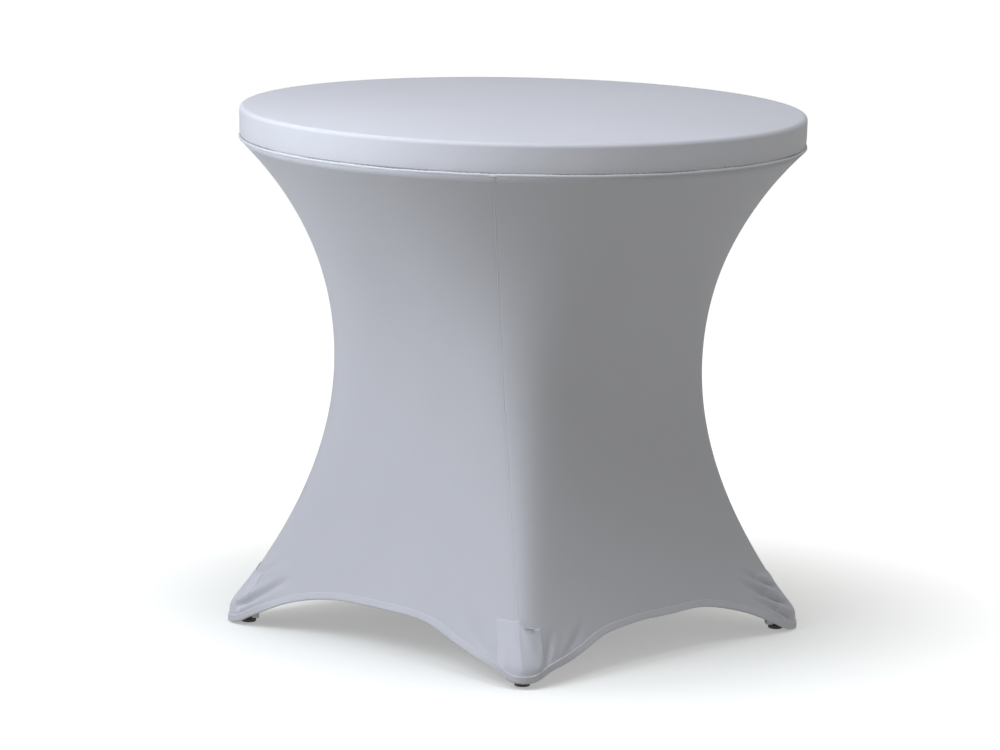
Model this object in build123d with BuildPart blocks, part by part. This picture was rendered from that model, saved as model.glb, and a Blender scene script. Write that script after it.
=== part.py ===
"""Round banquet table dressed in a fitted stretch cover, all sizes in millimetres.

Frame: origin on the floor under the centre of the top, +Z up.
The four feet stand on the X and Y axes, with the front foot towards -Y.
"""
from build123d import *
from math import atan2, cos, cosh, degrees, exp, hypot, log1p, radians, sin, sqrt, tan
import os

# ---- cover: overall form -------------------------------------------------
table_height = 750.0         # floor to the top of the cloth
rim_radius = 403.0           # outside of the cloth round the top
waist_radius = 263.6         # at the four corner seams, where the skirt is narrowest
waist_height = 385.0
foot_radius = 405.0          # outside of the cloth at a foot pocket
pocket_height = 28.0         # the pocket front is upright up to about here
pocket_blend = 2.5           # softness of the bend above the upright pocket front
rim_flare = 1.47             # how late the skirt turns outwards below the rim
foot_flare = 0.54            # how late the skirt turns outwards above a foot
rim_squareness = 2.0         # superellipse power of a level section, 2 is a circle
foot_squareness = 20.0       # near the floor the section is a square with round corners
squareness_power = 2.5       # how late the section turns square on the way down

# ---- cover: cloth, seams and hems ----------------------------------------
cloth = 1.0                  # thickness of the stretched knit
clearance = 0.3              # between a cloth layer and what it lies on
top_edge_round = 6.0         # outside of the cloth over the edge of the top
seam_drop = 2.7              # from the underside of the board to the rolled seam's lower edge
seam_depth = 3.8             # height of the rolled seam
seam_proud = 1.5             # how far the rolled seam stands out
seam_lean = 4.35             # degrees, as the cover is turned a little against its feet
corner_seam_half = 1.1       # half width of an upright seam
corner_seam_proud = 0.9
corner_gap = 0.3             # degrees between a corner plane and a skirt panel's edge
hem_foot_height = 4.5        # lower edge of the hem at a foot
hem_rise = 61.0              # height of the arch between two feet above that
hem_power = 3.6              # shape of the arch, 2 is a parabola
hem_foot_turn = 3.0          # degrees each side of a corner where the hem stays low
hem_foot_blend = 0.8         # degrees over which it leaves the foot
hem_width = 10.0
hem_thickness = 0.8
hem_inner = 0.45             # between a skirt panel and the hem folded up on it
patch_height = 80.0          # top of the reinforced foot pocket
patch_half_angle = 6.0       # degrees each side of the corner
strap_width = 10.0
strap_thickness = 1.0
strap_inset = 5.0            # from the glide's axis inwards to the strap
strap_turn = 6.5             # degrees from the corner to where the strap meets the hem

# ---- tabletop ------------------------------------------------------------
board_thickness = 42.0
laminate = 0.8
edge_band_thickness = 6.0

# ---- frame ---------------------------------------------------------------
tube_radius = 11.0
tube_wall = 1.5
bend_radius = 60.0
pocket_room = 5.5            # between a foot boss and the cloth outside it
plate_circle = 250.0         # radius of the circle through the four mounting plates
gather_circle = 33.0         # radius of the circle through the tubes in the collar
steepest_bend = 60.0         # degrees, the sharpest bend that still clears the collar
collar_height = 407.0        # middle of the collar
collar_depth = 40.0
collar_rim = 6.0             # metal outside the tubes
collar_split = 2.0           # gap between the two halves
collar_web = 3.4             # metal between a tube and a bolt
collar_bolt_rows = 26.0      # between the upper and the lower bolts
collar_seat = 20.0           # from the split to a bolt head
bolt_radius = 3.0
bolt_head_radius = 5.0
bolt_head_height = 6.0
nut_height = 5.0
spot_face_radius = 6.5
plate_length = 72.0          # along the radius
plate_width = 48.0
plate_thickness = 4.0
plate_corner = 6.0
screw_spacing_length = 54.0
screw_spacing_width = 30.0
screw_radius = 2.5
screw_head_radius = 4.5
screw_head_height = 2.8
screw_length = 24.0

# ---- feet ----------------------------------------------------------------
boss_radius = 17.5           # at the tube, wide enough for its slanting end
boss_foot_radius = 11.0
boss_bottom = 8.0
boss_top = 34.0
boss_round = 1.5
stem_radius = 4.0
stem_top = 26.0
stem_hole_top = 29.0
stem_seat = 2.0              # underside of the stem, above the floor
pad_radius = 11.0
pad_height = 6.0
pad_foot_round = 2.5
pad_top_round = 1.2

CORNERS = {"front": 270.0, "right": 0.0, "back": 90.0, "left": 180.0}
PANELS = {"front_right": 270.0, "back_right": 0.0, "back_left": 90.0, "front_left": 180.0}
QUARTER = 90.0
PROFILE_STEPS = 16
PROFILE_POWER = 1.8          # draws the points of a profile together towards its foot

board_top = table_height - cloth - clearance
board_bottom = board_top - board_thickness
board_radius = rim_radius - cloth - clearance
core_radius = board_radius - edge_band_thickness
edge_band_round = top_edge_round - cloth
plate_bottom = board_bottom - plate_thickness
seam_height = board_bottom - seam_drop      # where the skirt is sewn to the top
foot_circle = foot_radius - cloth - pocket_room - boss_radius   # through the four glides
collar_radius = gather_circle + tube_radius + collar_rim
collar_bolt_reach = gather_circle * sqrt(0.5) + tube_radius + collar_web + bolt_radius + clearance
bend_reach = collar_depth / 2 + bend_radius * tan(radians(steepest_bend / 2))

os.makedirs("parts", exist_ok=True)


# ---- form of the stretched cover -------------------------------------------
def corner_radius(z):
    """Radius of the cover's outside along a corner, at height z."""
    if z >= waist_height:
        share = (z - waist_height) / (seam_height - waist_height)
        rise = (cosh(rim_flare * share) - 1) / (cosh(rim_flare) - 1)
        return waist_radius + (rim_radius - waist_radius) * rise
    share = (waist_height - z) / (waist_height - pocket_height)
    rise = (hypot(1, foot_flare * share) - 1) / (hypot(1, foot_flare) - 1)
    reach = waist_radius + (foot_radius - waist_radius) * rise
    return foot_radius - pocket_blend * log1p(exp((foot_radius - reach) / pocket_blend))


def squareness(z):
    """Superellipse power of the level section at height z."""
    drop = min(1.0, max(0.0, (seam_height - z) / seam_height))
    return rim_squareness + (foot_squareness - rim_squareness) * drop ** squareness_power


def cover_radius(turn, z):
    """Radius of the cover's outside, turn degrees away from a corner."""
    power = squareness(z)
    from_middle = radians(QUARTER / 2 - abs(turn))
    middle_radius = corner_radius(z) * 2 ** (1 / power - 0.5)
    spread = abs(cos(from_middle)) ** power + abs(sin(from_middle)) ** power
    return middle_radius / spread ** (1 / power)


def hem_height(turn):
    """Height of the hem's lower edge, turn degrees away from a corner."""
    from_foot = QUARTER / 2 - abs(QUARTER / 2 - abs(turn))
    beyond = hem_foot_blend * log1p(exp((from_foot - hem_foot_turn) / hem_foot_blend))
    from_middle = max(0.0, 1 - beyond / (QUARTER / 2 - hem_foot_turn))
    return hem_foot_height + hem_rise * (1 - from_middle ** hem_power)


def level_thickness(turn, z, thickness):
    """Level distance through a sloping layer of the given thickness."""
    step = 1.0
    slope = (cover_radius(turn, z + step) - cover_radius(turn, z - step)) / (2 * step)
    return thickness * hypot(1, slope)


def radial_plane(angle, lean=0.0):
    """Plane out from the axis: its x runs outwards, its y runs up and leans sideways."""
    out = radians(angle)
    side = radians(lean)
    return Plane(origin=(0, 0, 0), x_dir=(cos(out), sin(out), 0),
                 z_dir=(sin(out) * cos(side), -cos(out) * cos(side), -sin(side)))


def leaning_reach(turn, z):
    """How far out the cover is at height z in the leaning plane, and its turn there."""
    aside = z * tan(radians(seam_lean))
    reach = cover_radius(turn, z)
    for nearer in range(12):
        there = turn - degrees(atan2(aside, reach))
        reach = sqrt(cover_radius(there, z) ** 2 - aside ** 2)
    return reach, there


def profile_heights(bottom, top):
    """Heights of the points that draw an upright profile, closest at its foot."""
    shares = [(step / PROFILE_STEPS) ** PROFILE_POWER for step in range(PROFILE_STEPS + 1)]
    return [bottom + (top - bottom) * share for share in shares]


def strip_points(turn, bottom, top, offset):
    """Points up the cover in the leaning plane at one turn, offset outwards from its outside."""
    points = []
    for z in profile_heights(bottom, top):
        reach, there = leaning_reach(turn, z)
        points.append((reach + level_thickness(there, z, offset), z / cos(radians(seam_lean))))
    return points


def layer_outline(turn, bottom, top, inner, outer):
    """Outline of a layer of cloth in the leaning plane at one turn."""
    inside = strip_points(turn, bottom, top, inner)
    outside = strip_points(turn, bottom, top, outer)
    Spline(*inside)
    Line(inside[-1], outside[-1])
    Spline(*outside)
    Line(outside[0], inside[0])


def cover_strip(corner_angle, turns, bottom, top, inner, outer):
    """Loft a layer of cloth through leaning sections at the given turns.

    bottom and top give the layer's edges at a turn; inner and outer are its
    offsets from the cover's outside.
    """
    with BuildPart() as strip:
        for turn in turns:
            with BuildSketch(radial_plane(corner_angle + turn, seam_lean)):
                with BuildLine():
                    layer_outline(turn, bottom(turn), top(turn), inner, outer)
                make_face()
        loft()
    return strip.part


def save(part, name):
    """Label a finished piece and write it."""
    part.label = name
    export_step(part, f"parts/{name}.step")


# ---- top of the cover ------------------------------------------------------
def cap_outline(radius, top, bottom, edge_round):
    """Half section of a round cap with a rounded upper edge."""
    edge_start = (radius - edge_round, top)
    edge_end = (radius, top - edge_round)
    Line((0, top), edge_start)
    RadiusArc(edge_start, edge_end, edge_round)
    Line(edge_end, (radius, bottom))
    Line((radius, bottom), (0, bottom))
    Line((0, bottom), (0, top))


cap_bottom = seam_height + seam_depth + clearance

with BuildPart() as top_panel:
    with BuildSketch(Plane.XZ):
        with BuildLine():
            cap_outline(rim_radius, table_height, cap_bottom, top_edge_round)
        make_face()
        with BuildLine():
            cap_outline(rim_radius - cloth, table_height - cloth, cap_bottom, top_edge_round - cloth)
        make_face(mode=Mode.SUBTRACT)
    revolve(axis=Axis.Z)
save(top_panel.part, "top_panel")

seam_ring_width = cloth + seam_proud
with BuildPart() as rim_seam:
    with BuildSketch(Plane.XZ):
        with Locations((rim_radius - cloth + seam_ring_width / 2, seam_height + seam_depth / 2)):
            Rectangle(seam_ring_width, seam_depth - clearance)
    revolve(axis=Axis.Z)
save(rim_seam.part, "rim_seam")

# ---- skirt -----------------------------------------------------------------
panel_half_turns = [corner_gap, 1.2, 2.1, 3.0, 4.0, 5.2, 7.0, 9.5, 13.5, 20.0, 30.0, QUARTER / 2]
panel_turns = panel_half_turns + [QUARTER - turn for turn in reversed(panel_half_turns[:-1])]
skirt_top = seam_height - clearance

for name, angle in PANELS.items():
    panel = cover_strip(
        angle, panel_turns, hem_height, lambda turn: skirt_top, -cloth, 0.0)
    save(panel, f"skirt_panel_{name}")
    hem = cover_strip(
        angle, panel_turns, hem_height, lambda turn: hem_height(turn) + hem_width,
        hem_inner, hem_inner + hem_thickness)
    save(hem, f"hem_{name}")

patch_inner = hem_inner + hem_thickness + 1.5 * clearance
patch_turns = [patch_half_angle * step / 6 for step in range(-6, 7)]
seam_bottom = hem_foot_height + hem_width

for name, angle in CORNERS.items():
    with BuildPart() as corner_seam:
        with BuildSketch(radial_plane(angle, seam_lean)):
            with BuildLine():
                layer_outline(0.0, seam_bottom, skirt_top, -cloth, corner_seam_proud)
            make_face()
        extrude(amount=corner_seam_half, both=True)
    save(corner_seam.part, f"corner_seam_{name}")

    patch = cover_strip(
        angle, patch_turns, hem_height, lambda turn: patch_height,
        patch_inner, patch_inner + cloth)
    save(patch, f"foot_patch_{name}")


def radial_thickness(turn, z, thickness):
    """Distance along a radius through a layer that turns away from it in plan too."""
    step = 0.2
    change = cover_radius(turn + step, z) - cover_radius(turn - step, z)
    plan_slope = change / (2 * radians(step) * cover_radius(turn, z))
    return hypot(level_thickness(turn, z, thickness), plan_slope * thickness)


def inside_half_width(x, z, inset):
    """Half width inside the cover at distance x out along a corner, at height z."""
    low = 0.0
    high = foot_radius
    for halving in range(30):
        y = (low + high) / 2
        turn = degrees(atan2(y, x))
        if hypot(x, y) < cover_radius(turn, z) - radial_thickness(turn, z, inset):
            low = y
        else:
            high = y
    return low


def polar_plane(angle, radius, height):
    """Level plane at a point on a circle: its x runs outwards."""
    out = radians(angle)
    return Plane(origin=(radius * cos(out), radius * sin(out), height),
                 x_dir=(cos(out), sin(out), 0), z_dir=(0, 0, 1))


strap_out = foot_circle - strap_inset
strap_bottom = boss_bottom - clearance - strap_thickness
strap_flat = boss_foot_radius + clearance + strap_thickness
strap_end_height = hem_height(strap_turn) + hem_width
strap_end = inside_half_width(strap_out, strap_end_height, cloth + clearance)

for name, angle in CORNERS.items():
    middle = polar_plane(angle, strap_out - strap_width / 2, 0)
    across = Plane(origin=middle.origin, x_dir=middle.y_dir, z_dir=middle.x_dir)
    with BuildPart() as foot_strap:
        with BuildSketch(across):
            with BuildLine():
                strap_line = Polyline(
                    (-strap_end, strap_end_height), (-strap_flat, strap_bottom),
                    (strap_flat, strap_bottom), (strap_end, strap_end_height))
                offset(strap_line, amount=strap_thickness, side=Side.LEFT, kind=Kind.INTERSECTION)
            make_face()
        extrude(amount=strap_width / 2, both=True)
    save(foot_strap.part, f"foot_strap_{name}")

# ---- tabletop --------------------------------------------------------------
screw_points = [(length * screw_spacing_length / 2, width * screw_spacing_width / 2)
                for length in (-1, 1) for width in (-1, 1)]
screw_hole_radius = screw_radius + clearance
screw_top = plate_bottom + screw_length
core_bottom = board_bottom + laminate
core_top = board_top - laminate

with BuildPart() as tabletop_core:
    with BuildSketch(Plane.XY.offset(core_bottom)):
        Circle(core_radius)
    extrude(amount=core_top - core_bottom)
    for angle in CORNERS.values():
        with BuildSketch(polar_plane(angle, plate_circle, core_bottom)):
            with Locations(*screw_points):
                Circle(screw_hole_radius)
        extrude(amount=screw_top + clearance - core_bottom, mode=Mode.SUBTRACT)
save(tabletop_core.part, "tabletop_core")

with BuildPart() as top_laminate:
    with BuildSketch(Plane.XY.offset(core_top)):
        Circle(core_radius)
    extrude(amount=laminate)
save(top_laminate.part, "top_laminate")

with BuildPart() as underside_laminate:
    with BuildSketch(Plane.XY.offset(board_bottom)):
        Circle(core_radius)
    extrude(amount=laminate)
    for angle in CORNERS.values():
        with BuildSketch(polar_plane(angle, plate_circle, board_bottom)):
            with Locations(*screw_points):
                Circle(screw_hole_radius)
        extrude(amount=laminate, mode=Mode.SUBTRACT)
save(underside_laminate.part, "underside_laminate")

with BuildPart() as edge_band:
    with BuildSketch(Plane.XY.offset(board_bottom)):
        Circle(board_radius)
        Circle(core_radius, mode=Mode.SUBTRACT)
    extrude(amount=board_thickness)
    fillet(edge_band.edges().filter_by(GeomType.CIRCLE).group_by(SortBy.RADIUS)[-1], edge_band_round)
save(edge_band.part, "edge_band")

# ---- frame: four bent tubes gathered in a collar -----------------------------
leg_corners = [
    (foot_circle, boss_top),
    (gather_circle, collar_height - bend_reach),
    (gather_circle, collar_height + bend_reach),
    (plate_circle, plate_bottom),
]


def overrun(inner, outer, length):
    """Point past outer on the line from inner, so that the tube's end can be cut level."""
    run = hypot(outer[0] - inner[0], outer[1] - inner[1])
    return tuple(o + (o - i) * length / run for i, o in zip(inner, outer))


leg_path_points = [
    overrun(leg_corners[1], leg_corners[0], 2 * tube_radius),
    *leg_corners[1:3],
    overrun(leg_corners[2], leg_corners[3], 2 * tube_radius),
]

for name, angle in CORNERS.items():
    with BuildPart() as leg_tube:
        with BuildLine(radial_plane(angle)) as leg_path:
            FilletPolyline(*leg_path_points, radius=bend_radius)
        leg_start = Plane(origin=leg_path.line @ 0, z_dir=leg_path.line % 0)
        with BuildSketch(leg_start):
            Circle(tube_radius)
            Circle(tube_radius - tube_wall, mode=Mode.SUBTRACT)
        sweep()
        split(bisect_by=Plane.XY.offset(boss_top), keep=Keep.TOP)
        split(bisect_by=Plane.XY.offset(plate_bottom), keep=Keep.BOTTOM)
    save(leg_tube.part, f"leg_tube_{name}")

    with BuildPart() as mounting_plate:
        with BuildSketch(polar_plane(angle, plate_circle, plate_bottom)):
            RectangleRounded(plate_length, plate_width, plate_corner)
            with Locations(*screw_points):
                Circle(screw_hole_radius, mode=Mode.SUBTRACT)
        extrude(amount=plate_thickness)
    save(mounting_plate.part, f"mounting_plate_{name}")

    with BuildPart() as plate_screws:
        with BuildSketch(polar_plane(angle, plate_circle, plate_bottom - screw_head_height)):
            with Locations(*screw_points):
                Circle(screw_head_radius)
        extrude(amount=screw_head_height)
        with BuildSketch(polar_plane(angle, plate_circle, plate_bottom)):
            with Locations(*screw_points):
                Circle(screw_radius)
        extrude(amount=screw_length)
    save(plate_screws.part, f"plate_screws_{name}")

# The collar is split on the plane at 45 degrees, so each half holds two tubes.
split_angle = QUARTER / 2
collar_bottom = collar_height - collar_depth / 2
bolt_points = [(side * collar_bolt_reach, -collar_height + row * collar_bolt_rows / 2)
               for side in (-1, 1) for row in (-1, 1)]


def split_plane(distance):
    """Upright plane parallel to the collar's split, distance out from it, its y downwards."""
    out = radians(split_angle)
    normal = Vector(-sin(out), cos(out), 0)
    return Plane(origin=normal * distance, x_dir=(cos(out), sin(out), 0), z_dir=normal)


for name, side in (("back", 1), ("front", -1)):
    with BuildPart() as collar_half:
        with BuildSketch(Plane.XY.offset(collar_bottom)):
            Circle(collar_radius)
            with PolarLocations(gather_circle, len(CORNERS)):
                Circle(tube_radius + clearance, mode=Mode.SUBTRACT)
        extrude(amount=collar_depth)
        keep = Keep.TOP if side > 0 else Keep.BOTTOM
        split(bisect_by=split_plane(side * collar_split / 2), keep=keep)
        with BuildSketch(split_plane(-collar_radius)):
            with Locations(*bolt_points):
                Circle(bolt_radius + clearance)
        extrude(amount=2 * collar_radius, mode=Mode.SUBTRACT)
        with BuildSketch(split_plane(side * collar_seat)):
            with Locations(*bolt_points):
                Circle(spot_face_radius)
        extrude(amount=side * collar_radius, mode=Mode.SUBTRACT)
    save(collar_half.part, f"collar_{name}_half")

with BuildPart() as collar_bolts:
    with BuildSketch(split_plane(collar_seat)):
        with Locations(*bolt_points):
            Circle(bolt_head_radius)
    extrude(amount=bolt_head_height)
    with BuildSketch(split_plane(-collar_seat - nut_height - clearance)):
        with Locations(*bolt_points):
            Circle(bolt_radius)
    extrude(amount=2 * collar_seat + nut_height + clearance)
save(collar_bolts.part, "collar_bolts")

with BuildPart() as collar_nuts:
    with BuildSketch(split_plane(-collar_seat - nut_height)):
        with Locations(*bolt_points):
            RegularPolygon(bolt_head_radius, 6, major_radius=False)
            Circle(bolt_radius + clearance, mode=Mode.SUBTRACT)
    extrude(amount=nut_height)
save(collar_nuts.part, "collar_nuts")

# ---- feet ------------------------------------------------------------------
for name, angle in CORNERS.items():
    with BuildPart() as foot_boss:
        with BuildSketch(polar_plane(angle, foot_circle, boss_bottom)):
            Circle(boss_foot_radius)
        with BuildSketch(polar_plane(angle, foot_circle, boss_top)):
            Circle(boss_radius)
        loft()
        chamfer(foot_boss.edges().filter_by(GeomType.CIRCLE), boss_round)
        with BuildSketch(polar_plane(angle, foot_circle, boss_bottom)):
            Circle(stem_radius + clearance)
        extrude(amount=stem_hole_top - boss_bottom, mode=Mode.SUBTRACT)
    save(foot_boss.part, f"foot_boss_{name}")

    with BuildPart() as glide_stem:
        with BuildSketch(polar_plane(angle, foot_circle, stem_seat)):
            Circle(stem_radius)
        extrude(amount=stem_top - stem_seat)
        chamfer(glide_stem.edges().filter_by(GeomType.CIRCLE).sort_by(Axis.Z)[-1], stem_radius / 4)
    save(glide_stem.part, f"glide_stem_{name}")

    with BuildPart() as glide_pad:
        with BuildSketch(polar_plane(angle, foot_circle, 0)):
            Circle(pad_radius)
        extrude(amount=pad_height)
        pad_rims = glide_pad.edges().filter_by(GeomType.CIRCLE).sort_by(Axis.Z)
        fillet(pad_rims[0], pad_foot_round)
        fillet(pad_rims[-1], pad_top_round)
        with BuildSketch(polar_plane(angle, foot_circle, stem_seat)):
            Circle(stem_radius + clearance / 2)
        extrude(amount=pad_height - stem_seat, mode=Mode.SUBTRACT)
    save(glide_pad.part, f"glide_pad_{name}")
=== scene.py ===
import math

import bpy
import numpy as np
from mathutils import Matrix, Vector


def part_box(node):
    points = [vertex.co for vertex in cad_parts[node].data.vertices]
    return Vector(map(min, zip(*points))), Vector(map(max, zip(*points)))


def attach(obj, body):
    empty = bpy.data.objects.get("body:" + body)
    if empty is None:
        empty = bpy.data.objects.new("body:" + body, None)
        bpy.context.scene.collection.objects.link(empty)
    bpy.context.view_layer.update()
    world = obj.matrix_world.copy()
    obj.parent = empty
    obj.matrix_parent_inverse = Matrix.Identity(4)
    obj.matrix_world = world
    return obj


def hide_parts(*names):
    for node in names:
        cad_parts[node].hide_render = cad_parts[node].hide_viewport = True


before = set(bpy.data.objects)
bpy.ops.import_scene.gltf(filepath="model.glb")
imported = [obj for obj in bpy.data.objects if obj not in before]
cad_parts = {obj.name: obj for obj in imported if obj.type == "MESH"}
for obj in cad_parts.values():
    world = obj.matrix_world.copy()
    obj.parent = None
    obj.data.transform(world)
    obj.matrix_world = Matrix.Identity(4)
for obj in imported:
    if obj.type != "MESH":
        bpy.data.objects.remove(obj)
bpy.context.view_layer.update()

# Metres and degrees throughout, unless a comment says mm. Everything belonging to the cover
# is made on one stretched surface. Its form is the one that the CAD panels have.
CORNERS = {"front": 270.0, "right": 0.0, "back": 90.0, "left": 180.0}
PANELS = {"front_right": 270.0, "back_right": 0.0, "back_left": 90.0, "front_left": 180.0}
QUARTER = 90.0
MM = 0.001

top_low, top_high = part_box("top_panel")
seam_low, seam_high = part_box("rim_seam")
skirt_low, skirt_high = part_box("skirt_panel_front_left")
patch_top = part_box("foot_patch_right")[1].z

table_top = top_high.z
rim_radius = top_high.x
foot_radius = 0.405
waist_radius = 0.2636
waist_height = 0.385
pocket_height = 0.028
pocket_blend = 0.0025
rim_flare = 1.47
foot_flare = 0.54
rim_squareness = 2.0
foot_squareness = 20.0
squareness_power = 2.5
skirt_top = skirt_high.z
hem_foot_height = skirt_low.z
hem_rise = 0.061                # height of the arches above the feet
hem_power = 3.6
hem_foot_turn = 3.0
hem_foot_blend = 0.8
hem_width = 0.010
hem_layers = 1.4 * MM           # how far the folded hem stands out of the panel
pocket_layers = 1.3 * MM        # and how much further where a pocket is caught in it
seam_lean = 4.35
cloth = 0.001
edge_round = 0.006
strap_thickness = 1.0 * MM
patch_half_angle = 6.0          # of the pocket's layers in the hem, each side of a corner
pocket_turn = 4.8               # of the pocket itself
boss_foot_radius = 0.011


# The cover sits a little turned on its feet, so its arches are not alike. How far the hem
# hangs under the even arch: direction and half width in degrees, and the drop in mm.
HEM_DROPS = [
    (180.0, 3.2, 2.2), (184.2, 2.8, 3.0), (188.5, 3.5, 3.6), (254.0, 7.0, 5.5), (265.2, 3.4, -5.6),
    (270.0, 2.6, -3.0), (274.8, 3.4, -5.6), (284.0, 8.0, 9.0), (298.0, 9.0, 5.0), (318.0, 16.0, 6.0),
    (345.0, 9.0, 3.0), (352.0, 3.5, 3.6), (355.8, 2.8, 3.0), (0.0, 3.2, 2.2), (7.0, 3.5, 3.5),
    (58.0, 14.0, 3.0), (90.0, 3.0, 2.0), (97.0, 3.5, 3.5), (128.0, 16.0, 4.0), (173.5, 3.5, 4.0),
]


# ---- form of the stretched cover -------------------------------------------
def corner_radius(z):
    """Radius of the cover along a corner, at height z."""
    upper_share = np.clip((z - waist_height) / (skirt_top - waist_height), 0, None)
    upper_rise = (np.cosh(rim_flare * upper_share) - 1) / (math.cosh(rim_flare) - 1)
    upper = waist_radius + (rim_radius - waist_radius) * upper_rise
    lower_share = np.clip((waist_height - z) / (waist_height - pocket_height), 0, None)
    lower_rise = (np.hypot(1, foot_flare * lower_share) - 1) / (math.hypot(1, foot_flare) - 1)
    reach = waist_radius + (foot_radius - waist_radius) * lower_rise
    lower = foot_radius - pocket_blend * np.log1p(np.exp((foot_radius - reach) / pocket_blend))
    return np.where(z >= waist_height, upper, lower)


def from_corner(azimuth):
    """Degrees from the nearest corner, negative before it and positive after it."""
    return (azimuth + QUARTER / 2) % QUARTER - QUARTER / 2


def cover_radius(azimuth, z):
    """Radius of the smooth cover in any direction, at height z."""
    drop = np.clip((skirt_top - z) / skirt_top, 0, 1)
    power = rim_squareness + (foot_squareness - rim_squareness) * drop ** squareness_power
    from_middle = np.radians(QUARTER / 2 - np.abs(from_corner(azimuth)))
    middle_radius = corner_radius(z) * 2 ** (1 / power - 0.5)
    spread = np.abs(np.cos(from_middle)) ** power + np.abs(np.sin(from_middle)) ** power
    return middle_radius / spread ** (1 / power)


def hem_height(azimuth):
    """Height of the hem's lower edge: an arch between every two feet."""
    from_foot = np.abs(from_corner(azimuth))
    beyond = hem_foot_blend * np.log1p(np.exp((from_foot - hem_foot_turn) / hem_foot_blend))
    from_middle = np.clip(1 - beyond / (QUARTER / 2 - hem_foot_turn), 0, 1)
    height = hem_foot_height + hem_rise * (1 - from_middle ** hem_power)
    for middle, half_width, drop in HEM_DROPS:
        away = (azimuth - middle + 180) % 360 - 180
        height = height - drop * MM * np.exp(-(away / half_width) ** 2)
    return height


def leaning_azimuth(azimuth, z):
    """Direction of a line that starts at azimuth on the floor and leans with the seams."""
    aside = z * SEAM_SLOPE
    there = np.asarray(azimuth, float) + 0 * z
    for nearer in range(8):
        reach = np.sqrt(cover_radius(there, z) ** 2 - aside ** 2)
        there = azimuth - np.degrees(np.arctan2(aside, reach))
    return there


SEAM_SLOPE = math.tan(math.radians(seam_lean))

# Folds that the pull of each foot leaves in the cloth. Each one starts so far out from
# the corner line and up from the floor, climbs at a slope in degrees, and has a length, a
# half width and a depth.
FOLDS = {
    ("left", 1): [(17, 20, 46, 84, 5.5, 11.0), (50, 18, 20, 110, 5.0, 3.0), (12, 66, 46, 60, 4.5, 2.2)],
    ("right", -1): [(12, 12, 40, 74, 4.5, 8.5), (10, 32, 40, 84, 5.0, 11.0),
                    (10, 58, 38, 70, 4.5, 8.5)],
    ("front", 1): [(30, 14, 78, 60, 5.0, 5.0), (56, 22, 46, 76, 6.0, 3.2)],
    ("front", -1): [(32, 16, 80, 46, 5.0, 4.0), (50, 30, 52, 80, 12.0, 3.2)],
    ("left", -1): [(28, 22, 36, 84, 5.5, 7.0), (20, 52, 42, 70, 5.0, 4.0)],
    ("right", 1): [(24, 20, 34, 88, 5.5, 7.0), (26, 46, 38, 66, 5.0, 4.0)],
    ("back", 1): [(32, 20, 40, 84, 6.0, 7.0), (20, 56, 46, 56, 5.0, 3.6)],
    ("back", -1): [(26, 22, 35, 90, 6.0, 7.0), (42, 18, 70, 50, 5.5, 4.0)],
}


def fold_depth(out, up, fold):
    """How far one fold draws the cloth in, with the lip that stands beside it."""
    start_out, start_up, slope, length, half_width, depth = fold
    rise = math.radians(slope)
    along = (out - start_out * MM) * math.cos(rise) + (up - start_up * MM) * math.sin(rise)
    across = (up - start_up * MM) * math.cos(rise) - (out - start_out * MM) * math.sin(rise)
    share = np.clip(along / (length * MM), 0, 1)
    fade = np.clip(share / 0.16, 0, 1) ** 2 * (1 - share ** 2) ** 1.2
    width = half_width * MM * (0.75 + 0.6 * share)
    valley = np.exp(-(across / width) ** 2)
    lip = 0.45 * np.exp(-((across - 1.9 * width) / (1.2 * width)) ** 2)
    lip += 0.45 * np.exp(-((across + 1.9 * width) / (1.2 * width)) ** 2)
    return depth * MM * fade * (valley - lip)


def relief(azimuth, z):
    """How far the cloth lies outside its smooth form: folds, the sunk seams, slack."""
    azimuth, z = np.broadcast_arrays(np.asarray(azimuth, float), np.asarray(z, float))
    turn = from_corner(azimuth)
    seam_turn = from_corner(azimuth + np.degrees(np.arcsin(z * SEAM_SLOPE / cover_radius(azimuth, z))))
    from_seam = cover_radius(azimuth, z) * np.radians(seam_turn)
    out = corner_radius(z) * np.sqrt(2 - 2 * np.cos(np.radians(turn)))
    rise = np.zeros(azimuth.shape)
    off_hem = np.clip((z - hem_height(azimuth) - hem_width * 0.6) / 0.016, 0, 1)
    off_hem = off_hem ** 2 * (3 - 2 * off_hem)
    for (corner, side), folds in FOLDS.items():
        away = np.abs((azimuth - CORNERS[corner] + 180) % 360 - 180)
        here = (away < QUARTER / 2) & (np.sign(turn) == side)
        for fold in folds:
            rise -= np.where(here, fold_depth(out, z, fold), 0) * off_hem
    groove = 0.3 * MM * np.exp(-(from_seam / (1.6 * MM)) ** 2)
    puckers = 1 + 0.3 * np.sin(z / (2.1 * MM)) * np.sin(z / (13 * MM))
    slack = 0.5 * MM * np.sin(np.radians(azimuth) * 5 + 9 * z) * np.sin(7 * z + 0.6)
    slack += 0.3 * MM * np.sin(np.radians(azimuth) * 11 - 16 * z + 1.3)
    toe = 3.5 * MM * np.exp(-(z / 0.034) ** 2) * np.exp(-(turn / 7.0) ** 2)
    return rise + toe - groove * puckers + slack * np.clip((skirt_top - z) / 0.15, 0, 1)


def cover_points(azimuth, z):
    """Points on the cover, folds included."""
    azimuth, z = np.broadcast_arrays(np.asarray(azimuth, float), np.asarray(z, float))
    radius = cover_radius(azimuth, z) + relief(azimuth, z)
    angle = np.radians(azimuth)
    return np.stack([radius * np.cos(angle), radius * np.sin(angle), z], -1)


def unit(vectors):
    return vectors / np.linalg.norm(vectors, axis=-1, keepdims=True)


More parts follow.
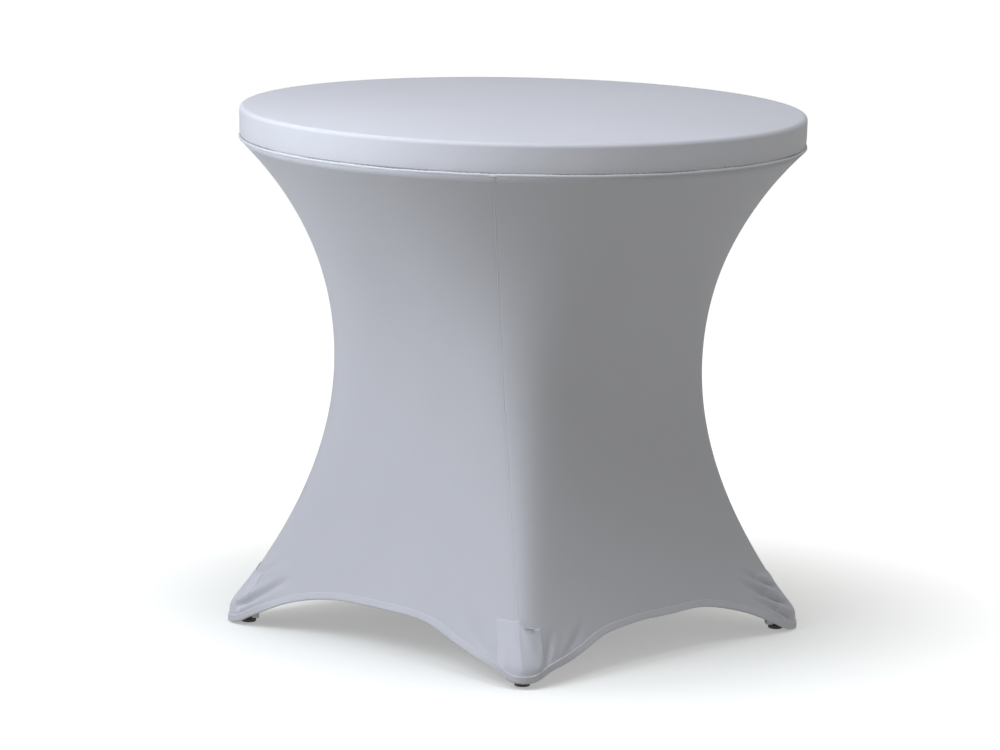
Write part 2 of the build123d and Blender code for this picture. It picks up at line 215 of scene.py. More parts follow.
def cover_out(azimuth, z):
    """Unit vectors out of the cover."""
    turn_step = 0.06
    rise_step = 0.6 * MM
    along = cover_points(azimuth + turn_step, z) - cover_points(azimuth - turn_step, z)
    up = cover_points(azimuth, z + rise_step) - cover_points(azimuth, z - rise_step)
    return unit(np.cross(along, up))


# ---- meshes ------------------------------------------------------------------
def add_object(name, points, faces, uvs=None):
    """Mesh object from points and faces, smooth shaded, with UVs in metres."""
    mesh = bpy.data.meshes.new(name)
    mesh.from_pydata([tuple(p) for p in points], [], [tuple(f) for f in faces])
    mesh.shade_smooth()
    if uvs is not None:
        layer = mesh.uv_layers.new(name="metres")
        corner_vertices = np.empty(len(mesh.loops), np.int64)
        mesh.loops.foreach_get("vertex_index", corner_vertices)
        layer.data.foreach_set("uv", np.asarray(uvs, np.float32)[corner_vertices].ravel())
    item = bpy.data.objects.new(name, mesh)
    bpy.context.scene.collection.objects.link(item)
    return item


def grid_quads(rows, columns, first=0, closed=False):
    """Quads between neighbouring rows of points, round a closed ring if asked."""
    quads = []
    last = columns if closed else columns - 1
    for row in range(rows - 1):
        for column in range(last):
            after = (column + 1) % columns
            a = first + row * columns + column
            b = first + row * columns + after
            quads.append((a, b, b + columns, a + columns))
    return quads


def path_lengths(points, axis):
    """Distance run along one axis of a grid of points."""
    steps = np.linalg.norm(np.diff(points, axis=axis), axis=-1)
    start = np.zeros_like(np.take(steps, [0], axis=axis))
    return np.concatenate([start, np.cumsum(steps, axis=axis)], axis=axis)


def sheet_object(name, outside, inside, closed=False):
    """A sheet with real thickness, from its outer and inner grids of points.

    A closed one runs round in a ring, and its last row is filled across.
    """
    rows, columns, _ = outside.shape
    count = rows * columns
    faces = grid_quads(rows, columns, 0, closed)
    faces += [quad[::-1] for quad in grid_quads(rows, columns, count, closed)]
    bottom = list(range(columns))
    top = list(range(count - columns, count))
    edges = [(bottom, True)]
    if closed:
        faces.append(tuple(top))
        faces.append(tuple(point + count for point in reversed(top)))
    else:
        edges.append((top, False))
        edges.append((list(range(0, count, columns)), False))
        edges.append((list(range(columns - 1, count, columns)), True))
    for line, turned in edges:
        ends = line[1:] + line[:1] if closed else line[1:]
        for a, b in zip(line, ends):
            quad = (a, b, b + count, a + count)
            faces.append(quad[::-1] if turned else quad)
    points = np.concatenate([outside.reshape(-1, 3), inside.reshape(-1, 3)])
    across = path_lengths(outside, 1)
    up = path_lengths(outside, 0)
    uvs = np.stack([across, up], -1).reshape(-1, 2)
    return add_object(name, points, faces, np.concatenate([uvs, uvs]))


def welt_object(name, path, across, out, section, closed=False):
    """A closed section carried along a path. section is (along across, along out) per point."""
    section = np.asarray(section, float)
    if section.ndim == 2:
        section = np.broadcast_to(section, (len(path), *section.shape))
    rings = (path[:, None] + across[:, None] * section[..., :1] + out[:, None] * section[..., 1:])
    rows, columns, _ = rings.shape
    faces = grid_quads(rows, columns, 0, True)
    if closed:
        last = (rows - 1) * columns
        for column in range(columns):
            after = (column + 1) % columns
            faces.append((last + column, last + after, after, column))
    else:
        faces.append(tuple(range(columns))[::-1])
        faces.append(tuple(range((rows - 1) * columns, rows * columns)))
    along = path_lengths(rings, 0)
    around = path_lengths(rings, 1)
    uvs = np.stack([along, around], -1).reshape(-1, 2)
    return add_object(name, rings.reshape(-1, 3), faces, uvs)


def stitches_object(name, places, along, out, length, radius):
    """A row of stitches: short threads that dip into the cloth at both ends."""
    sides = 6
    stations = [(-0.5, 0.25, -0.6), (-0.32, 0.85, 0.35), (0.0, 1.0, 0.75), (0.32, 0.85, 0.35),
                (0.5, 0.25, -0.6)]
    side_way = np.cross(along, out)
    points = []
    faces = []
    for place, run, lift, side in zip(places, along, out, side_way):
        first = len(points)
        for shift, width, height in stations:
            middle = place + run * shift * length + lift * height * radius
            for step in range(sides):
                turn = 2 * math.pi * step / sides
                points.append(middle + radius * width * (side * math.cos(turn) + lift * math.sin(turn)))
        faces += grid_quads(len(stations), sides, first, True)
        faces.append(tuple(range(first, first + sides))[::-1])
        end = first + (len(stations) - 1) * sides
        faces.append(tuple(range(end, end + sides)))
    return add_object(name, points, faces)


def ride_with(item, slot, *nodes):
    """Fix a piece to the covered table, in place of its CAD nodes."""
    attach(item, "covered_table")
    if nodes:
        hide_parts(*nodes)
    item.data.materials.append(MATERIALS[slot])
    return item


# ---- materials ---------------------------------------------------------------
def new_material(name):
    material = bpy.data.materials.new(name)
    material.use_nodes = True
    nodes = material.node_tree.nodes
    return material, nodes, material.node_tree.links, nodes["Principled BSDF"]


def noise_node(nodes, links, source, scale, detail=4.0, roughness=0.6):
    texture = nodes.new("ShaderNodeTexNoise")
    texture.inputs["Scale"].default_value = scale
    texture.inputs["Detail"].default_value = detail
    texture.inputs["Roughness"].default_value = roughness
    links.new(source, texture.inputs["Vector"])
    return texture.outputs["Fac"]


def between(nodes, links, factor, low, high):
    """Colour between low and high, by factor."""
    mix = nodes.new("ShaderNodeMix")
    mix.data_type = "RGBA"
    mix.clamp_factor = False
    mix.inputs["A"].default_value = (*low, 1)
    mix.inputs["B"].default_value = (*high, 1)
    links.new(factor, mix.inputs["Factor"])
    return mix.outputs["Result"]


def value_range(nodes, links, factor, low, high, from_low=0.0, from_high=1.0):
    spread = nodes.new("ShaderNodeMapRange")
    spread.inputs["From Min"].default_value = from_low
    spread.inputs["From Max"].default_value = from_high
    spread.inputs["To Min"].default_value = low
    spread.inputs["To Max"].default_value = high
    links.new(factor, spread.inputs["Value"])
    return spread.outputs["Result"]


def bumped(nodes, links, shader, heights, strength, distance):
    bump = nodes.new("ShaderNodeBump")
    bump.inputs["Strength"].default_value = strength
    bump.inputs["Distance"].default_value = distance
    links.new(heights, bump.inputs["Height"])
    links.new(bump.outputs["Normal"], shader.inputs["Normal"])


def maths(nodes, links, operation, first, second):
    node = nodes.new("ShaderNodeMath")
    node.operation = operation
    for socket, value in zip(node.inputs, (first, second)):
        if isinstance(value, (int, float)):
            socket.default_value = value
        else:
            links.new(value, socket)
    return node.outputs["Value"]


def wave_node(nodes, links, source, direction, period):
    """Ridges with the given distance between them, in the source's own units."""
    wave = nodes.new("ShaderNodeTexWave")
    wave.wave_type = "BANDS"
    wave.bands_direction = direction
    wave.inputs["Scale"].default_value = math.tau / (20 * period)
    links.new(source, wave.inputs["Vector"])
    return wave.outputs["Fac"]


def knit_material(name, low, high, wale=0.9 * MM, course=0.7 * MM, depth=0.12 * MM, sheen=0.18):
    """Fine stretch knit: wales and courses, faint mottling, a soft sheen, and painted light that lightens it
    over the top.
    """
    material, nodes, links, shader = new_material(name)
    uv = nodes.new("ShaderNodeUVMap")
    uv.uv_map = "metres"
    place = nodes.new("ShaderNodeTexCoord").outputs["Object"]
    broad = noise_node(nodes, links, place, 9.0)
    fine = noise_node(nodes, links, place, 260.0, 2.0)
    mottle = maths(nodes, links, "ADD", maths(nodes, links, "MULTIPLY", broad, 0.6),
                   maths(nodes, links, "MULTIPLY", fine, 0.4))
    wales = wave_node(nodes, links, uv.outputs["UV"], "X", wale)
    courses = wave_node(nodes, links, uv.outputs["UV"], "Y", course)
    loops = maths(nodes, links, "MULTIPLY", wales, courses)
    tint = maths(nodes, links, "ADD", maths(nodes, links, "MULTIPLY", mottle, 0.8),
                 maths(nodes, links, "MULTIPLY", loops, 0.2))
    split = nodes.new("ShaderNodeSeparateXYZ")
    links.new(place, split.inputs["Vector"])
    # Painted light: above the rim seam the cloth colour is pushed lighter, as if more light falls on the top.
    painted_top_light = value_range(nodes, links, split.outputs["Z"], 0.0, 0.8, seam_high.z, seam_high.z + 0.004)
    links.new(between(nodes, links, maths(nodes, links, "ADD", tint, painted_top_light), low, high),
              shader.inputs["Base Color"])
    links.new(value_range(nodes, links, mottle, 0.66, 0.82), shader.inputs["Roughness"])
    shader.inputs["Sheen Weight"].default_value = sheen
    shader.inputs["Sheen Roughness"].default_value = 0.45
    shader.inputs["Specular IOR Level"].default_value = 0.22
    relief_height = maths(nodes, links, "ADD", loops, maths(nodes, links, "MULTIPLY", fine, 0.5))
    bumped(nodes, links, shader, relief_height, 0.5, depth)
    return material


def metal_material(name, low, high, roughness, grain_scale, depth):
    """Cast or plated metal with a fine grain and uneven gloss."""
    material, nodes, links, shader = new_material(name)
    place = nodes.new("ShaderNodeTexCoord").outputs["Object"]
    broad = noise_node(nodes, links, place, 24.0)
    grain = noise_node(nodes, links, place, grain_scale, 3.0)
    mixed = maths(nodes, links, "MULTIPLY", broad, grain)
    links.new(between(nodes, links, value_range(nodes, links, mixed, 0, 1, 0.1, 0.45), low, high),
              shader.inputs["Base Color"])
    links.new(value_range(nodes, links, broad, roughness - 0.08, roughness + 0.1),
              shader.inputs["Roughness"])
    shader.inputs["Metallic"].default_value = 1.0
    bumped(nodes, links, shader, grain, 0.6, depth)
    return material


def powder_coat_material(name, colour):
    """Powder coat: an orange-peel skin over steel."""
    material, nodes, links, shader = new_material(name)
    place = nodes.new("ShaderNodeTexCoord").outputs["Object"]
    peel = noise_node(nodes, links, place, 700.0, 1.5)
    broad = noise_node(nodes, links, place, 14.0)
    darker = tuple(part * 0.82 for part in colour)
    links.new(between(nodes, links, broad, darker, colour), shader.inputs["Base Color"])
    links.new(value_range(nodes, links, peel, 0.38, 0.52), shader.inputs["Roughness"])
    shader.inputs["Coat Weight"].default_value = 0.12
    bumped(nodes, links, shader, peel, 0.45, 0.12 * MM)
    return material


def laminate_material(name, low, high):
    """Pearl-finish laminate: a faint speckle under a satin face."""
    material, nodes, links, shader = new_material(name)
    place = nodes.new("ShaderNodeTexCoord").outputs["Object"]
    speckle = noise_node(nodes, links, place, 420.0, 3.0)
    cloud = noise_node(nodes, links, place, 7.0)
    mixed = maths(nodes, links, "ADD", maths(nodes, links, "MULTIPLY", speckle, 0.7),
                  maths(nodes, links, "MULTIPLY", cloud, 0.3))
    links.new(between(nodes, links, mixed, low, high), shader.inputs["Base Color"])
    links.new(value_range(nodes, links, speckle, 0.34, 0.5), shader.inputs["Roughness"])
    bumped(nodes, links, shader, speckle, 0.25, 0.05 * MM)
    return material


def chipboard_material(name):
    """Pressed wood chips, darker and lighter."""
    material, nodes, links, shader = new_material(name)
    place = nodes.new("ShaderNodeTexCoord").outputs["Object"]
    cells = nodes.new("ShaderNodeTexVoronoi")
    cells.inputs["Scale"].default_value = 260.0
    links.new(place, cells.inputs["Vector"])
    fibre = noise_node(nodes, links, place, 120.0)
    mixed = maths(nodes, links, "MULTIPLY", cells.outputs["Distance"], fibre)
    shares = value_range(nodes, links, mixed, 0, 1, 0.05, 0.45)
    links.new(between(nodes, links, shares, (0.33, 0.22, 0.12), (0.62, 0.47, 0.3)),
              shader.inputs["Base Color"])
    links.new(value_range(nodes, links, fibre, 0.75, 0.95), shader.inputs["Roughness"])
    bumped(nodes, links, shader, mixed, 0.6, 0.3 * MM)
    return material


def moulded_material(name, low, high):
    """Moulded nylon, scuffed by the floor."""
    material, nodes, links, shader = new_material(name)
    place = nodes.new("ShaderNodeTexCoord").outputs["Object"]
    broad = noise_node(nodes, links, place, 60.0)
    grain = noise_node(nodes, links, place, 900.0, 2.0)
    links.new(between(nodes, links, broad, low, high), shader.inputs["Base Color"])
    links.new(value_range(nodes, links, broad, 0.42, 0.62), shader.inputs["Roughness"])
    bumped(nodes, links, shader, grain, 0.35, 0.06 * MM)
    return material


CLOTH_LOW = (0.60, 0.605, 0.635)
CLOTH_HIGH = (0.66, 0.665, 0.70)
MATERIALS = {
    "cover_fabric": knit_material("cover_fabric", CLOTH_LOW, CLOTH_HIGH),
    "seam_fabric": knit_material("seam_fabric", (0.66, 0.665, 0.69), (0.72, 0.725, 0.75), sheen=0.25),
    "hem_fabric": knit_material("hem_fabric", (0.64, 0.645, 0.68), (0.71, 0.715, 0.75),
                                1.2 * MM, 0.9 * MM),
    "pocket_fabric": knit_material("pocket_fabric", (0.63, 0.635, 0.68), (0.70, 0.705, 0.75),
                                   1.1 * MM, 0.9 * MM),
    "webbing": knit_material("webbing", (0.52, 0.525, 0.54), (0.66, 0.665, 0.68),
                             1.6 * MM, 1.1 * MM, 0.3 * MM),
    "board_core": chipboard_material("board_core"),
    "laminate": laminate_material("laminate", (0.55, 0.55, 0.54), (0.66, 0.66, 0.65)),
    "edge_band": laminate_material("edge_band", (0.42, 0.42, 0.42), (0.5, 0.5, 0.5)),
    "powder_coated_steel": powder_coat_material("powder_coated_steel", (0.42, 0.43, 0.45)),
    "cast_aluminium": metal_material("cast_aluminium", (0.5, 0.51, 0.52), (0.74, 0.75, 0.76),
                                     0.42, 480.0, 0.12 * MM),
    "zinc_hardware": metal_material("zinc_hardware", (0.52, 0.53, 0.55), (0.72, 0.73, 0.76),
                                    0.3, 1500.0, 0.03 * MM),
    "glide_nylon": moulded_material("glide_nylon", (0.045, 0.048, 0.042), (0.075, 0.08, 0.07)),
}


# ---- top of the cover ----------------------------------------------------------
def rim_profile(offset):
    """Half section of the top, offset outwards: (radius, height) from the middle to the seam."""
    middle_radius = rim_radius - edge_round
    flat = [(middle_radius * share, table_top) for share in np.linspace(0.012, 1, 46) ** 0.8]
    turns = np.radians(np.linspace(90, 0, 10))[1:]
    corner = [(middle_radius + edge_round * math.cos(t),
               table_top - edge_round + edge_round * math.sin(t)) for t in turns]
    band_depth = table_top - edge_round - top_low.z
    shares = np.linspace(0, 1, 18)[1:]
    tuck = 1.6 * MM
    band = [(rim_radius - tuck * share ** 6, table_top - edge_round - band_depth * share)
            for share in shares]
    line = np.array(flat + corner + band)
    tangent = np.gradient(line, axis=0)
    normal = unit(np.stack([-tangent[:, 1], tangent[:, 0]], -1))
    return line + normal * offset


def top_grid(offset):
    """Points of the top, offset outwards, with the slight unevenness of stretched cloth."""
    profile = rim_profile(offset)
    angles = np.radians(np.linspace(0, 360, 240, endpoint=False))
    radius = profile[:, None, 0]
    from_rim = np.clip(1 - radius / rim_radius, 0, 1)
    wave = 0.25 * MM * np.sin(3 * angles + 1.1) * np.sin(radius * 14) * from_rim
    band_share = np.clip((table_top - edge_round - profile[:, None, 1]) / 0.03, 0, 1)
    ripple = 0.22 * MM * band_share * (np.sin(17 * angles) + np.sin(41 * angles + 2))
    reach = radius + ripple
    height = profile[:, None, 1] + wave
    return np.stack([reach * np.cos(angles), reach * np.sin(angles), height], -1)


def make_top():
    outside = top_grid(0.0)
    inside = top_grid(-cloth)
    item = sheet_object("cover_top", outside[::-1], inside[::-1], closed=True)
    return ride_with(item, "cover_fabric", "top_panel")


def rim_bulge(angles):
    """Extra thickness where an upright seam's layers are caught in the rim seam."""
    turn = from_corner(np.degrees(angles) - leaning_azimuth(np.zeros(1), skirt_top))
    return np.exp(-(turn / 0.55) ** 2)


def make_rim_seam():
    """The rolled seam between the top and the skirt."""
    angles = np.radians(np.linspace(0, 360, 720, endpoint=False))
    uneven = 0.35 * np.sin(7 * angles + 0.4) + 0.3 * np.sin(19 * angles) + 0.2 * np.sin(53 * angles + 1)
    pinch = 0.12 * np.sin(260 * angles)
    radius = rim_radius - 1.1 * MM + 0.25 * MM * uneven
    height = (seam_low.z + seam_high.z) / 2 + 0.4 * MM * uneven - 0.8 * MM * rim_bulge(angles)
    path = np.stack([radius * np.cos(angles), radius * np.sin(angles), height], -1)
    out = np.stack([np.cos(angles), np.sin(angles), 0 * angles], -1)
    across = np.broadcast_to([0.0, 0.0, 1.0], out.shape)
    turns = np.radians(np.arange(0, 360, 30))
    size = (1 + 0.12 * uneven + pinch + 0.35 * rim_bulge(angles))[:, None, None]
    section = np.stack([2.1 * MM * np.sin(turns), 1.7 * MM * np.cos(turns)], -1)
    item = welt_object("rim_seam_roll", path, across, out, section[None] * size, closed=True)
    return ride_with(item, "seam_fabric", "rim_seam")


# ---- skirt -----------------------------------------------------------------------
def panel_turns():
    """Degrees across one panel, closest near the feet where the folds are."""
    near = np.concatenate([[0.05, 0.12, 0.2, 0.32, 0.5, 0.75], np.arange(1.0, 20.0, 0.42)])
    far = np.linspace(20.0, QUARTER / 2, 15)
    half = np.concatenate([near, far])
    return np.concatenate([half, QUARTER - half[-2::-1]])


def panel_heights(azimuth):
    """Rows of heights from the hem to the rim, closest near the floor."""
    shares = np.concatenate([np.linspace(0, 0.2, 60)[:-1], np.linspace(0.2, 1, 56)])
    bottom = hem_height(azimuth)
    return bottom + (skirt_top - bottom) * shares[:, None]


def make_panel(name, start):
    azimuth = start + panel_turns()
    heights = panel_heights(azimuth)
    leaning = leaning_azimuth(np.broadcast_to(azimuth, heights.shape), heights)
    outside = cover_points(leaning, heights)
    inside = outside - cover_out(leaning, heights) * cloth
    item = sheet_object(f"skirt_{name}", outside, inside)
    return ride_with(item, "cover_fabric", f"skirt_panel_{name}")


def line_frame(azimuth, heights):
    """A line on the cover: its points, the way up across it, the way out, the way along."""
    points = cover_points(azimuth, heights)
    out = cover_out(azimuth, heights)
    along = unit(np.gradient(points, axis=0))
    across = unit(np.cross(out, along))
    return points, across, out, along


def foot_nearness(azimuth):
    """1 over a foot pocket, 0 away from it."""
    return np.clip(1.35 - np.abs(from_corner(azimuth)) / patch_half_angle, 0, 1) ** 0.7


def hem_section(azimuth, points):
    """Folded hem: outer face, rounded fold underneath and inner face, thicker over a pocket."""
    thick = hem_layers + pocket_layers * foot_nearness(azimuth)
    run = path_lengths(points[:, None], 0)[:, 0]
    tunnel = 0.07 * MM * np.sin(run / (2.6 * MM)) + 0.1 * MM * np.sin(run / (9.3 * MM) + 1)
    outline = [(1.0, 0.45), (0.985, 0.85), (0.9, 1.0), (0.72, 0.86), (0.5, 1.0), (0.3, 0.84),
               (0.12, 0.98), (0.02, 0.75), (-0.05, 0.2), (-0.05, -0.6), (0.02, -1.1), (0.15, -1.3), (0.5, -1.3),
               (0.9, -1.3), (1.0, -1.0)]
    section = []
    for rise, reach in outline:
        outward = thick * reach + tunnel * (reach > 0.8) if reach > 0 else hem_layers * reach
        section.append(np.stack([np.full(len(azimuth), hem_width * rise), outward + 0 * thick], -1))
    return np.stack(section, 1)


def make_hem(name, start):
    azimuth = start + np.linspace(0, QUARTER, 460)
    points, across, out, along = line_frame(azimuth, hem_height(azimuth))
    item = welt_object(f"hem_{name}_band", points, across, out, hem_section(azimuth, points))
    ride_with(item, "hem_fabric", f"hem_{name}")
    return item, make_hem_stitches(name, azimuth, points, across, out, along)


def make_hem_stitches(name, azimuth, points, across, out, along):
    """Two needle lines of cover stitch along a hem."""
    pitch = 3.6 * MM
    run = path_lengths(points[:, None], 0)[:, 0]
    marks = np.arange(pitch, run[-1] - pitch, pitch)
    spots = np.interp(marks, run, np.arange(len(run)))
    whole = np.rint(spots).astype(int)
    thick = hem_layers + pocket_layers * foot_nearness(azimuth[whole])
    rows = []
    for rise in (0.3, 0.72):
        centre = np.stack([np.interp(marks, run, points[:, axis]) for axis in range(3)], -1)
        lift = thick[:, None] * 0.86
        rows.append(centre + across[whole] * hem_width * rise + out[whole] * lift)
    places = np.concatenate(rows)
    runs = np.concatenate([along[whole]] * 2)
    outs = np.concatenate([out[whole]] * 2)
    item = stitches_object(f"hem_{name}_stitches", places, runs, outs, 2.7 * MM, 0.3 * MM)
    return ride_with(item, "seam_fabric")


def make_corner_seam(corner, azimuth_here):
    """The upright seam over a leg: a thin ridge sunk between two panels."""
    near_foot = np.linspace(hem_foot_height + 0.012, 0.1, 90)[:-1]
    heights = np.concatenate([near_foot, np.linspace(0.1, skirt_top, 240)])
    azimuth = leaning_azimuth(np.full(len(heights), azimuth_here), heights)
    wander = 0.25 * MM * (np.sin(heights * 47) + np.sin(heights * 111 + 1))
    azimuth = azimuth + np.degrees(wander / cover_radius(azimuth, heights))
    points = cover_points(azimuth, heights)
    out = unit(np.stack([np.cos(np.radians(azimuth)), np.sin(np.radians(azimuth)), 0 * azimuth], -1))
    up = unit(np.gradient(points, axis=0))
    across = unit(np.cross(up, out))
    out = unit(np.cross(across, up))
    turns = np.radians(np.arange(0, 360, 45))
    stitch = 1 + 0.16 * np.sin(heights / (0.62 * MM)) + 0.12 * np.sin(heights * 73)
    section = np.stack([0.8 * MM * np.cos(turns), 0.55 * MM * np.sin(turns)], -1)
    section = section[None] * stitch[:, None, None]
    item = welt_object(f"corner_seam_{corner}_ridge", points, across, out, section)
    return ride_with(item, "seam_fabric", f"corner_seam_{corner}")


# ---- foot pockets -----------------------------------------------------------------
# How far, in mm, the upper edge of each pocket turns out.
LIPS = {"front": 3.0, "right": 0.8, "back": 1.6, "left": 0.8}


def patch_edge(turn):
    """Height of a pocket's upper edge, which is lower after the corner."""
    step = np.clip(turn / 1.4, 0, 1)
    return patch_top + 0.006 - 0.010 * step ** 2 * (3 - 2 * step) + 0.0006 * np.sin(turn * 1.4)


def make_patch(corner, azimuth_here):
    """Doubled pocket over a foot. Its upper edge turns out just after the corner."""
    turns = np.linspace(-pocket_turn, pocket_turn, 110)
    shares = np.linspace(0, 1, 64)[:, None]
    bottom = hem_height(azimuth_here + turns) + hem_width * 0.55
    heights = bottom + (patch_edge(turns) - bottom) * shares
    azimuth = leaning_azimuth(np.broadcast_to(azimuth_here + turns, heights.shape), heights)
    side = np.clip((1 - np.abs(turns) / pocket_turn) / 0.12, 0, 1)
    lip_here = np.clip((turns + 0.2) / 0.5, 0, 1) * np.clip((3.3 - turns) / 0.5, 0, 1)
    lip = LIPS[corner] * MM * np.clip((shares - 0.9) / 0.1, 0, 1) ** 1.6 * lip_here
    creases = 0.4 * MM * np.sin(turns * 2.1 + shares * 4) * np.sin(shares * math.pi) ** 0.8
    ridge = 0.8 * MM * np.exp(-((turns - 0.05) / 0.28) ** 2) * np.sin(shares * math.pi) ** 0.6
    edge = side * np.clip((1 - shares) / 0.05, 0, 1)
    thickness = 0.3 * MM + 0.8 * MM * edge ** 0.5
    surface = cover_points(azimuth, heights)
    out = cover_out(azimuth, heights)
    lift = lip + ridge + creases * edge
    outside = surface + out * (0.1 * MM + lift + thickness)[..., None]
    inside = surface + out * (lift * 0.9 - 0.2 * MM)[..., None]
    item = sheet_object(f"foot_pocket_{corner}", outside, inside)
    ride_with(item, "pocket_fabric", f"foot_patch_{corner}")
    edge_line = outside[-1] - out[-1] * 0.35 * MM
    along = unit(np.gradient(edge_line, axis=0))
    across = unit(np.cross(out[-1], along))
    circle = np.radians(np.arange(0, 360, 45))
    size = (0.2 + 0.3 * LIPS[corner] * lip_here)[:, None, None]
    section = np.stack([1.2 * MM * np.sin(circle), 1.2 * MM * np.cos(circle)], -1)[None] * size
    welt = welt_object(f"foot_pocket_{corner}_welt", edge_line, across, out[-1], section)
    ride_with(welt, "pocket_fabric")
    return item, welt


def make_strap(corner, azimuth_here):
    """Elastic strap that passes under a foot and holds the pocket down."""
    low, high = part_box("foot_strap_right")
    bottom = low.z + strap_thickness / 2
    flat = boss_foot_radius + 1.3 * MM
    end = high.y - strap_thickness
    rise = high.z - 2 * MM
    knots = np.array([(-end, rise), (-flat, bottom), (flat, bottom), (end, rise)])
    run = path_lengths(knots[:, None], 0)[:, 0]
    marks = np.linspace(0, run[-1], 70)
    line = np.stack([np.interp(marks, run, knots[:, axis]) for axis in range(2)], -1)
    soft = line.copy()
    for smoothing in range(6):
        soft[1:-1] = (soft[:-2] + soft[1:-1] * 2 + soft[2:]) / 4
    middle_out = (low.x + high.x) / 2
    turn = math.radians(azimuth_here)
    radial = np.array([math.cos(turn), math.sin(turn), 0])
    sideways = np.array([-math.sin(turn), math.cos(turn), 0])
    path = radial * middle_out + sideways * soft[:, :1] + np.array([0, 0, 1.0]) * soft[:, 1:]
    along = unit(np.gradient(path, axis=0))
    across = np.broadcast_to(radial, along.shape)
    out = unit(np.cross(along, across))
    half = (high.x - low.x) / 2
    outline = [(-half, 0.2), (-half * 0.9, 0.5), (0, 0.42), (half * 0.9, 0.5), (half, 0.2), (half, -0.2),
               (half * 0.9, -0.5), (0, -0.42), (-half * 0.9, -0.5), (-half, -0.2)]
    section = [(a, b * strap_thickness) for a, b in outline]
    item = welt_object(f"foot_strap_{corner}_webbing", path, across, out, section)
    return ride_with(item, "webbing", f"foot_strap_{corner}")


# ---- the cover put together -------------------------------------------------------
cover_top = make_top()
rim_seam = make_rim_seam()
panels = {name: make_panel(name, start) for name, start in PANELS.items()}
hems = {name: make_hem(name, start) for name, start in PANELS.items()}
corner_seams = {name: make_corner_seam(name, angle) for name, angle in CORNERS.items()}
pockets = {name: make_patch(name, angle) for name, angle in CORNERS.items()}
straps = {name: make_strap(name, angle) for name, angle in CORNERS.items()}

# ---- finishes of the hard parts ------------------------------------------------------
HARD_PARTS = {
    "tabletop_core": "board_core",
    "top_laminate": "laminate",
    "underside_laminate": "laminate",
    "edge_band": "edge_band",
    "leg_tube": "powder_coated_steel",
    "mounting_plate": "powder_coated_steel",
    "collar_back_half": "cast_aluminium",
    "collar_front_half": "cast_aluminium",
    "foot_boss": "cast_aluminium",
    "collar_bolts": "zinc_hardware",
    "collar_nuts": "zinc_hardware",
    "plate_screws": "zinc_hardware",
    "glide_stem": "zinc_hardware",
    "glide_pad": "glide_nylon",
}
for prefix, slot in HARD_PARTS.items():
    for name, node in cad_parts.items():
        if name.startswith(prefix):
            node.data.materials.clear()
            node.data.materials.append(MATERIALS[slot])


# ---- camera, light and floor -----------------------------------------------------------
def add_camera():
    """Long lens, standing back and a little above the table."""
    data = bpy.data.cameras.new("camera")
    camera = bpy.data.objects.new("camera", data)
    bpy.context.scene.collection.objects.link(camera)
    data.sensor_width = 36.0
    data.lens = 178.5
    camera.location = (-0.2754, -6.9946, 1.5724)
    look_pitch = 0.17077
    look_turn = 0.0357
    roll = 0.0208
    look = Vector((math.sin(look_turn) * math.cos(look_pitch),
                   math.cos(look_turn) * math.cos(look_pitch), -math.sin(look_pitch)))
    turned = look.to_track_quat("-Z", "Y").to_matrix() @ Matrix.Rotation(roll, 3, "Z")
    camera.rotation_euler = turned.to_euler()
    data.clip_end = 100.0
    bpy.context.scene.camera = camera


def add_area_light(name, azimuth, elevation, distance, size, power, colour):
    """Soft box that faces the middle of the table."""
    data = bpy.data.lights.new(name, "AREA")
    data.shape = "RECTANGLE"
    data.size, data.size_y = size
    data.energy = power
    data.color = colour
    light = bpy.data.objects.new(name, data)
    bpy.context.scene.collection.objects.link(light)
    turn = math.radians(azimuth)
    rise = math.radians(elevation)
    away = Vector((math.cos(turn) * math.cos(rise), math.sin(turn) * math.cos(rise), math.sin(rise)))
    middle = Vector((0, 0, 0.45))
    light.location = middle + away * distance
    light.rotation_euler = (-away).to_track_quat("-Z", "Y").to_euler()
    return light


def add_world(colour, strength):
    world = bpy.data.worlds.new("studio")
    world.use_nodes = True
    background = world.node_tree.nodes["Background"]
    background.inputs["Color"].default_value = (*colour, 1)
    background.inputs["Strength"].default_value = strength
    bpy.context.scene.world = world


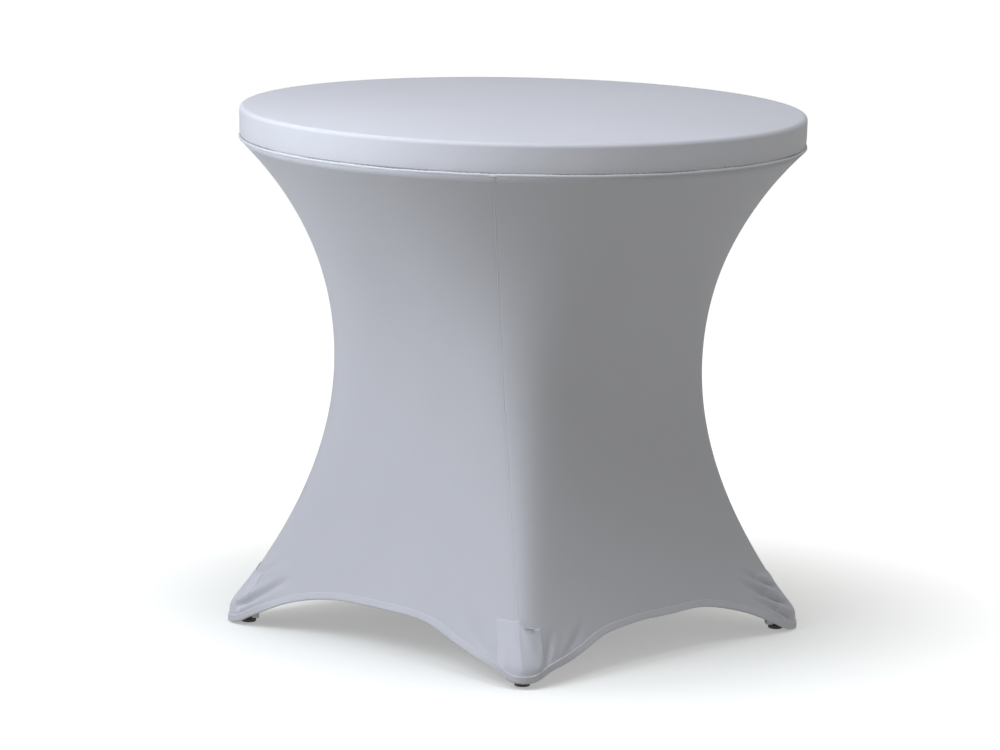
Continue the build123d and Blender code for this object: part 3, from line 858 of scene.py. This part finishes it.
def stage_material(name, colour, glow):
    material, nodes, links, shader = new_material(name)
    shader.inputs["Base Color"].default_value = (*colour, 1)
    shader.inputs["Roughness"].default_value = 0.9
    shader.inputs["Specular IOR Level"].default_value = 0.0
    shader.inputs["Emission Color"].default_value = (1, 1, 1, 1)
    shader.inputs["Emission Strength"].default_value = glow
    return material, nodes, links, shader


def add_floor(reach):
    """Round white floor, which glows more away from the table: painted light, a weak glow near the table that
    lifts the shade under it and a stronger one further out that washes out the table's cast shadow.
    """
    steps = 96
    ring = [(reach * math.cos(math.tau * i / steps), reach * math.sin(math.tau * i / steps), 0)
            for i in range(steps)]
    floor = add_object("studio_floor", ring, [tuple(range(steps))])
    near_glow = 0.30
    far_glow = 0.75
    glow_start = 0.40
    glow_end = 0.95
    material, nodes, links, shader = stage_material("studio_floor", (0.80, 0.81, 0.77), near_glow)
    place = nodes.new("ShaderNodeTexCoord").outputs["Object"]
    distance = nodes.new("ShaderNodeVectorMath")
    distance.operation = "LENGTH"
    links.new(place, distance.inputs[0])
    # Painted light: the glow grows with distance from the table.
    glow = value_range(nodes, links, distance.outputs["Value"], near_glow, far_glow,
                       glow_start, glow_end)
    links.new(glow, shader.inputs["Emission Strength"])
    floor.data.materials.append(material)
    floor.visible_diffuse = False


def add_backdrop(reach):
    """White dome round the studio, seen by the camera alone."""
    rings = 24
    steps = 64
    points = []
    for ring in range(rings + 1):
        rise = math.pi * (ring / rings - 0.5) * 0.998
        for step in range(steps):
            turn = math.tau * step / steps
            points.append((reach * math.cos(rise) * math.cos(turn),
                           reach * math.cos(rise) * math.sin(turn), reach * math.sin(rise)))
    dome = add_object("studio_backdrop", points, grid_quads(rings + 1, steps, 0, True))
    dome.data.materials.append(stage_material("studio_backdrop", (0, 0, 0), 1.0)[0])
    dome.visible_diffuse = False
    dome.visible_glossy = False
    dome.visible_transmission = False
    dome.visible_shadow = False


add_camera()
add_area_light("key_high_left", -144, 33, 1.6, (0.9, 0.9), 12.2, (0.88, 0.93, 1.05))
add_area_light("key_overhead", -85, 74, 2.6, (1.3, 1.3), 22.0, (0.91, 0.945, 1.06))
add_area_light("side_low_left", -174, 8, 2.6, (1.3, 1.3), 8.2, (0.88, 0.94, 1.08))
add_world((1.0, 1.0, 0.98), 0.338)
add_floor(12.0)
add_backdrop(30.0)
bpy.context.scene.view_settings.view_transform = "Standard"
